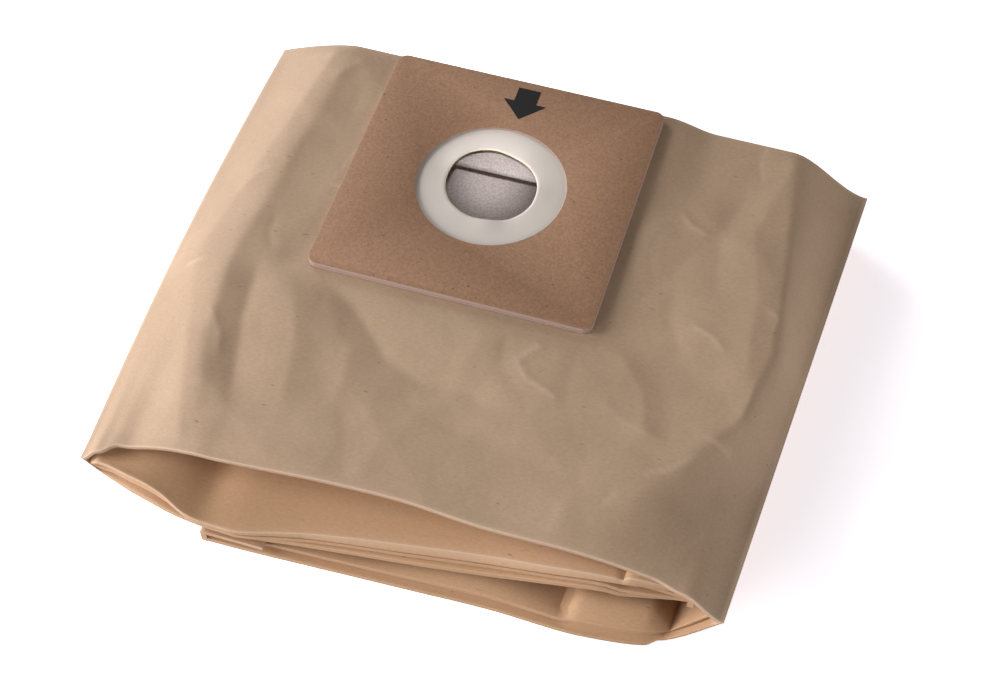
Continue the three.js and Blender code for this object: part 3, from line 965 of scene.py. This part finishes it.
# Seal membrane
# A die-cut ring of off-white rubber sheet, held by its rim between the cards. It lies a little
# wavy, and its hole is cut a little out of true, as (degrees from the right, radius).
hole_edge = [
    (0, 19.1), (40, 19.5), (75, 18.7), (97, 20.3), (130, 21.1), (153, 20.7), (180, 19.4), (222, 18.5),
    (267, 17.6), (292, 17.5), (320, 18.5), (344, 19.3), (360, 19.1),
]
free_radius = 31
free_width = 12
hole_reach = 22
cut_bevel = 0.2
around = 180
membrane_steps = 10
shape = bmesh.new()
rings = []
for i in range(around):
    degrees = 360 * i / around
    angle = math.radians(degrees)
    hole = sum(at_depth(hole_edge, (degrees + turn) % 360) for turn in (-14, -7, 0, 7, 14)) / 5
    outer = window_radius + membrane_grip
    ring = [
        (hole + cut_bevel, membrane_low), (outer, membrane_low), (outer, membrane_high),
        (window_radius, membrane_high),
    ]
    for k in range(membrane_steps + 1):
        ring.append((mix(free_radius, hole + cut_bevel, k / membrane_steps), membrane_high))
    ring.append((hole, membrane_high - cut_bevel))
    ring.append((hole, membrane_low + cut_bevel))
    verts = []
    for r, z in ring:
        free = max(0, (free_radius - r) / free_width) ** 1.5
        wave = 0.3 * math.sin(3 * angle + 0.9) + 0.2 * math.sin(5 * angle + 2.2) + 0.12 * math.sin(8 * angle)
        verts.append(shape.verts.new(spot(r * math.cos(angle), r * math.sin(angle), z + free * wave)))
    rings.append(verts)
for i in range(around):
    a = rings[i]
    b = rings[(i + 1) % around]
    for j in range(len(a)):
        k = (j + 1) % len(a)
        shape.faces.new((a[j], b[j], b[k], a[k]))
bmesh.ops.recalc_face_normals(shape, faces=shape.faces)
membrane = add_object("seal_ring", shape)
select_only(membrane)
bpy.ops.object.shade_smooth_by_angle(angle=math.radians(50))
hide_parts("seal_membrane")
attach(membrane, "root")

# Off-white rubber sheet, rolled smooth, with a satin sheen.
rubber, tree = new_material("rubber_sheet_off_white")
surface = add_node(tree, "ShaderNodeBsdfPrincipled", {"Base Color": linear("#dad0c6"), "Roughness": 0.36})
add_node(tree, "ShaderNodeOutputMaterial", {"Surface": surface.outputs["BSDF"]})
membrane.data.materials.append(rubber)

# Round the hole the die has left the rubber matt, and it shows its yellower inside; the edge's paler cream
# is also a painted highlight of the lit rim.
cut_rubber_and_highlight, tree = new_material("rubber_cut_edge_and_highlight")
surface = add_node(tree, "ShaderNodeBsdfPrincipled", {"Base Color": linear("#ecd9bf"), "Roughness": 0.6})
add_node(tree, "ShaderNodeOutputMaterial", {"Surface": surface.outputs["BSDF"]})
membrane.data.materials.append(cut_rubber_and_highlight)
# The hole's wall gets the cut edge colour, with its painted rim highlight, all round.
for face in membrane.data.polygons:
    away = math.hypot(face.center.x - inlet_x, face.center.y - inlet_y)
    if away < hole_reach * MM and abs(face.normal.z) < 0.9:
        face.material_index = 1

# Arrow print
# Black ink, printed flat on the front card.
ink, tree = new_material("printing_ink_black")
surface = add_node(tree, "ShaderNodeBsdfPrincipled", {"Base Color": linear("#0b0909"), "Roughness": 0.6})
add_node(tree, "ShaderNodeOutputMaterial", {"Surface": surface.outputs["BSDF"]})
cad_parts["arrow_print"].data.materials.clear()
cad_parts["arrow_print"].data.materials.append(ink)

# Table and light
# A white table that keeps the bag's soft shadow. Two big soft lamps stand low at the left, and
# weaker ones in front and at the right.
bpy.ops.object.select_all(action="DESELECT")
bpy.ops.mesh.primitive_plane_add(size=4, location=(0, 0, -0.0002))
table = bpy.context.object
table.name = "table"
table_white, tree = new_material("table_white")
ray = add_node(tree, "ShaderNodeLightPath")
seen = add_node(tree, "ShaderNodeMath", {
    0: ray.outputs["Is Camera Ray"], 1: ray.outputs["Is Glossy Ray"],
}, operation="MAXIMUM")
seen_all = add_node(tree, "ShaderNodeMath", {
    0: seen.outputs[0], 1: ray.outputs["Is Transmission Ray"],
}, operation="MAXIMUM")
matt = add_node(tree, "ShaderNodeBsdfDiffuse", {"Color": linear("#a8a4a2")})
pale = add_node(tree, "ShaderNodeBsdfDiffuse", {"Color": linear("#fbf7fd")})
twice = add_node(tree, "ShaderNodeAddShader", {0: pale.outputs[0], 1: pale.outputs[0]})
glow = add_node(tree, "ShaderNodeEmission", {"Color": (1, 0.96, 0.99, 1), "Strength": 0.3})
lit = add_node(tree, "ShaderNodeAddShader", {0: twice.outputs[0], 1: glow.outputs[0]})
both = add_node(tree, "ShaderNodeMixShader", {
    "Fac": seen_all.outputs[0], 1: matt.outputs[0], 2: lit.outputs[0],
})
add_node(tree, "ShaderNodeOutputMaterial", {"Surface": both.outputs[0]})
table.data.materials.append(table_white)

world = bpy.data.worlds.new("studio")
bpy.context.scene.world = world
world.use_nodes = True
tree = world.node_tree
tree.nodes.clear()
ray = add_node(tree, "ShaderNodeLightPath")
ambient = add_node(tree, "ShaderNodeBackground", {"Color": (1, 1, 1, 1), "Strength": 0.1})
white = add_node(tree, "ShaderNodeBackground", {"Color": (1, 1, 1, 1), "Strength": 1})
both = add_node(tree, "ShaderNodeMixShader", {
    "Fac": ray.outputs["Is Camera Ray"], 1: ambient.outputs[0], 2: white.outputs[0],
})
add_node(tree, "ShaderNodeOutputWorld", {"Surface": both.outputs[0]})

lamp_distance = 1.6
lamp_size = 0.8


def add_lamp(name, direction, power, color=(1, 1, 1)):
    """Square soft lamp that faces the middle of the bag."""
    data = bpy.data.lights.new(name, "AREA")
    data.size = lamp_size
    data.energy = power
    data.color = color
    lamp = bpy.data.objects.new(name, data)
    toward = Vector(direction).normalized()
    lamp.location = spot(10, -40, 20) + toward * lamp_distance
    lamp.rotation_euler = (-toward).to_track_quat("-Z", "Y").to_euler()
    bpy.context.scene.collection.objects.link(lamp)


add_lamp("key", (-0.88, -0.32, 0.34), 26, (0.99, 1, 1.04))
add_lamp("rim", (-0.72, 0.6, 0.34), 14)
add_lamp("front", (-0.42, -0.88, 0.2), 14)
add_lamp("side", (0.94, 0, 0.34), 11)

# A narrow beam along the camera's view lights the inside through the inlet.
beam = bpy.data.lights.new("inlet_beam", "SPOT")
beam.energy = 10
beam.spot_size = math.radians(3.6)
beam.spot_blend = 0.6
beam.shadow_soft_size = 0.01
beam_lamp = bpy.data.objects.new("inlet_beam", beam)
beam_lamp.location = spot(-2, 8, collar_top) + view_direction * 0.6
beam_lamp.rotation_euler = (-view_direction).to_track_quat("-Z", "Y").to_euler()
bpy.context.scene.collection.objects.link(beam_lamp)

bpy.context.scene.view_settings.view_transform = "Standard"
